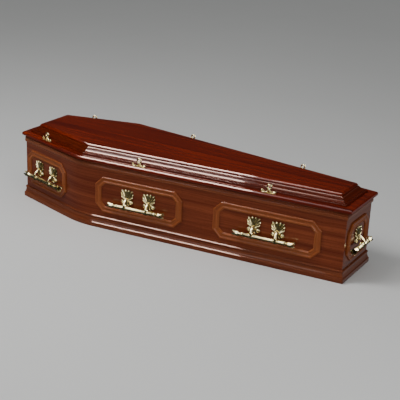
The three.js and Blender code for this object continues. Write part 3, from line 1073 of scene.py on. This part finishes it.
def makeWreathHolder(name, node, values, place):
    bm = bmesh.new()
    side = Vector((0, 1, 0))
    high, radius = values["ringHeight"], values["ringRadius"]
    circle = [Vector((math.sin(a) * radius, 0, high - math.cos(a) * radius))
              for a in (2 * math.pi * k / 36 for k in range(37))]
    tube(bm, circle, lambda t: values["ringTube"], side, 1.0, 14)
    for sign, spread in values["legs"]:
        leg = [(0.5, 19), (3, 15), (5.5, 10), (spread, 5), (spread + 5, 2.6)]
        line = curveThrough([Vector((sign * x, 0, z)) for x, z in leg], 5)
        tube(bm, line, lambda t: 3.2 + t, side, 1.0, 12, 0.1)
    knob = Matrix.Translation(Vector((0, 0, values["knobHeight"])) * mm)
    size = values["knobRadius"] * mm
    bmesh.ops.create_uvsphere(bm, u_segments=16, v_segments=10, radius=size, matrix=knob)
    half, wide = values["footHalf"], values["footWidth"]
    rows, paintedShades = [], []
    thick = values["plateThickness"]
    for i in range(33):
        t = 2 * i / 32 - 1
        wavy = 0.45 + 0.55 * math.cos(math.pi * t * values["footRipple"]) ** 2
        width = wide * wavy * math.sqrt(max(0.02, 1 - t ** 8))
        section = [(-width, 0.3), (-width, thick * 0.6), (-width * 0.6, thick), (0, thick + 1.2),
                   (width * 0.6, thick), (width, thick * 0.6), (width, 0.3)]
        rows.append([Vector((t * half, y, z)) for y, z in section])
        # painted shade: the foot's edges, where it meets the lid, are darkest
        paintedShades.append([1, 0.5, 0.1, 0, 0.1, 0.5, 1])
    loft(bm, rows, paintedShades=paintedShades)
    scroll = [Vector((-half + 12, 0, 2.2))]
    for k in range(36):
        t = k / 35
        angle = math.radians(-90 - values["scrollTurn"] * t)
        reach = mixed(values["scrollRadius"], 0.8, t ** 0.9)
        scroll.append(Vector((-half + 0.5 + math.cos(angle) * reach, 0, 7.4 + math.sin(angle) * reach)))
    tube(bm, scroll, lambda t: 3.4 - 1.2 * t, side, 1.0, 12, 0.1)
    lobe = curveThrough([Vector((half + x, 0, z)) for x, z in values["lobe"]], 6)
    tube(bm, lobe, lambda t: 2.4 + 3.2 * math.sin(math.pi * min(1, t * 0.85)), side)
    bmesh.ops.remove_doubles(bm, verts=bm.verts, dist=weld)
    bmesh.ops.transform(bm, matrix=place, verts=bm.verts)
    finishMesh(name, bm, [node], brass, 50, False)


for side, facing in (("right", -1), ("left", 1)):
    for i, (wall, distance) in enumerate(wreathSpots):
        at, normal = wallSpot(lidPlan, facing, wall, distance)
        at = at - normal * wreathSet["inset"]
        turn = Matrix.Rotation(math.atan2(normal.y, normal.x) + math.pi / 2, 4, "Z")
        place = Matrix.Translation(Vector((at.x, at.y, planSet["lidTop"])) * mm) @ turn
        label = f"{side}_{i + 1}"
        makeWreathHolder("wreathHolder_" + label, "wreath_holder_" + label, wreathSet, place)
print("wreath holders made")

warmShine = (1, 0.7, 0.58)
lampSet = {
    "keyBox": {"place": (-1.75, -1.6, 3.7), "target": (-0.1, -0.1, 0.3), "size": (1.1, 2.2), "power": 85},
    "keyWing": {"place": (-0.75, -1.6, 3.7), "target": (0.3, -0.1, 0.3), "size": (0.9, 2.2), "power": 36},
    "fillBox": {"place": (3.0, -2.4, 2.0), "target": (0.3, 0, 0.2), "size": (1.6, 1.4), "power": 40},
    # the others are seen only as reflections, in the pieces that shinesOn names
    "shineLow": {
        "place": (-0.9, -3.3, 1.5), "target": (-1.03, -0.4, 0.4), "size": (2.4, 2.0), "power": 50,
        "shinesOn": "all",
    },
    "shineHigh": {
        "place": (-1.45, -0.72, 3.0), "target": (-1.45, -0.72, 0), "size": (1.8, 1.15), "power": 720,
        "color": warmShine, "shinesOn": "upper",
    },
    "shineFoot": {
        "place": (0.02, -0.8, 3.0), "target": (0.02, -0.8, 0), "size": (0.8, 0.9), "power": 50,
        "color": warmShine, "shinesOn": "raised",
    },
    "shinePlinth": {
        "place": (-1.2, -2.27, 2.35), "target": (-1.4, -0.35, 0.05), "size": (1.5, 1.1), "power": 420,
        "color": warmShine, "shinesOn": "plinth",
    },
    "shineFloor": {
        "place": (0, 0, 0.002), "target": (0, 0, 1), "size": (9, 7), "power": 55,
        "shinesOn": "wood", "hidden": True,
    },
    "shineBrass": {
        "place": (1.9, 2.6, 0.95), "target": (0.95, 0, 0.2), "size": (2.6, 1.8), "power": 110,
        "shinesOn": "brass",
    },
}
skySet = {"energy": 0.9, "angle": 100, "tilt": (12, 8), "world": (0.04, 0.045, 0.045, 1)}
floorSet = {
    "size": 30,
    "dark": (0.62, 0.62, 0.61),
    "light": (0.66, 0.66, 0.65),
    "cloudScale": 0.8,
    "roughness": 0.8,
}


def makeLamp(name, values):
    data = bpy.data.lights.new(name, "AREA")
    data.shape = "RECTANGLE"
    data.size, data.size_y = values["size"]
    data.energy = values["power"]
    data.color = values.get("color", (1, 1, 1))
    lamp = bpy.data.objects.new(name, data)
    bpy.context.collection.objects.link(lamp)
    lamp.location = values["place"]
    lamp.visible_diffuse = "shinesOn" not in values
    lamp.visible_camera = not values.get("hidden", False)
    aim = Vector(values["target"]) - Vector(values["place"])
    lamp.rotation_mode = "QUATERNION"
    lamp.rotation_quaternion = aim.to_track_quat("-Z", "Y")
    return lamp


def receiverNames(piece):
    if brass.name in piece.data.materials:
        return ["brass"]
    names = ["wood", "plinth" if piece.name.startswith("plinth") else "upper"]
    if piece.name.startswith(("lidMoulding", "lidPanel")):
        names.append("raised")
    return names


def makeLamps(values):
    receivers = {}
    for piece in bpy.data.objects:
        if piece.type != "MESH":
            continue
        for name in receiverNames(piece):
            if name not in receivers:
                receivers[name] = bpy.data.collections.new(name + "Pieces")
            receivers[name].objects.link(piece)
    for name, lampValues in values.items():
        lamp = makeLamp(name, lampValues)
        if lampValues.get("shinesOn") in receivers:
            lamp.light_linking.receiver_collection = receivers[lampValues["shinesOn"]]


def makeSky(values):
    sun = bpy.data.lights.new("wideSky", "SUN")
    sun.energy = values["energy"]
    sun.angle = math.radians(values["angle"])
    sky = bpy.data.objects.new("wideSky", sun)
    bpy.context.collection.objects.link(sky)
    x, y = values["tilt"]
    sky.rotation_euler = (math.radians(x), math.radians(y), 0)
    world = bpy.data.worlds.new("world")
    world.use_nodes = True
    world.node_tree.nodes["Background"].inputs["Color"].default_value = values["world"]
    bpy.context.scene.world = world


def makeFloor(values):
    bm = bmesh.new()
    bmesh.ops.create_grid(bm, x_segments=2, y_segments=2, size=values["size"])
    mesh = bpy.data.meshes.new("floor")
    bm.to_mesh(mesh)
    bm.free()
    material, tree, shader = newMaterial("paleFloor")
    places = addNode(tree, "ShaderNodeTexCoord")
    clouds = noiseNode(tree, places.outputs["Object"], values["cloudScale"], 2.0)
    color = mixColors(tree, clouds, values["dark"], values["light"])
    tree.links.new(color, shader.inputs["Base Color"])
    shader.inputs["Roughness"].default_value = values["roughness"]
    mesh.materials.append(material)
    floor = bpy.data.objects.new("floor", mesh)
    bpy.context.collection.objects.link(floor)
    floor.visible_glossy = False  # polished metal keeps its dark undersides


makeLamps(lampSet)
makeSky(skySet)
makeFloor(floorSet)
print("floor and lights made")
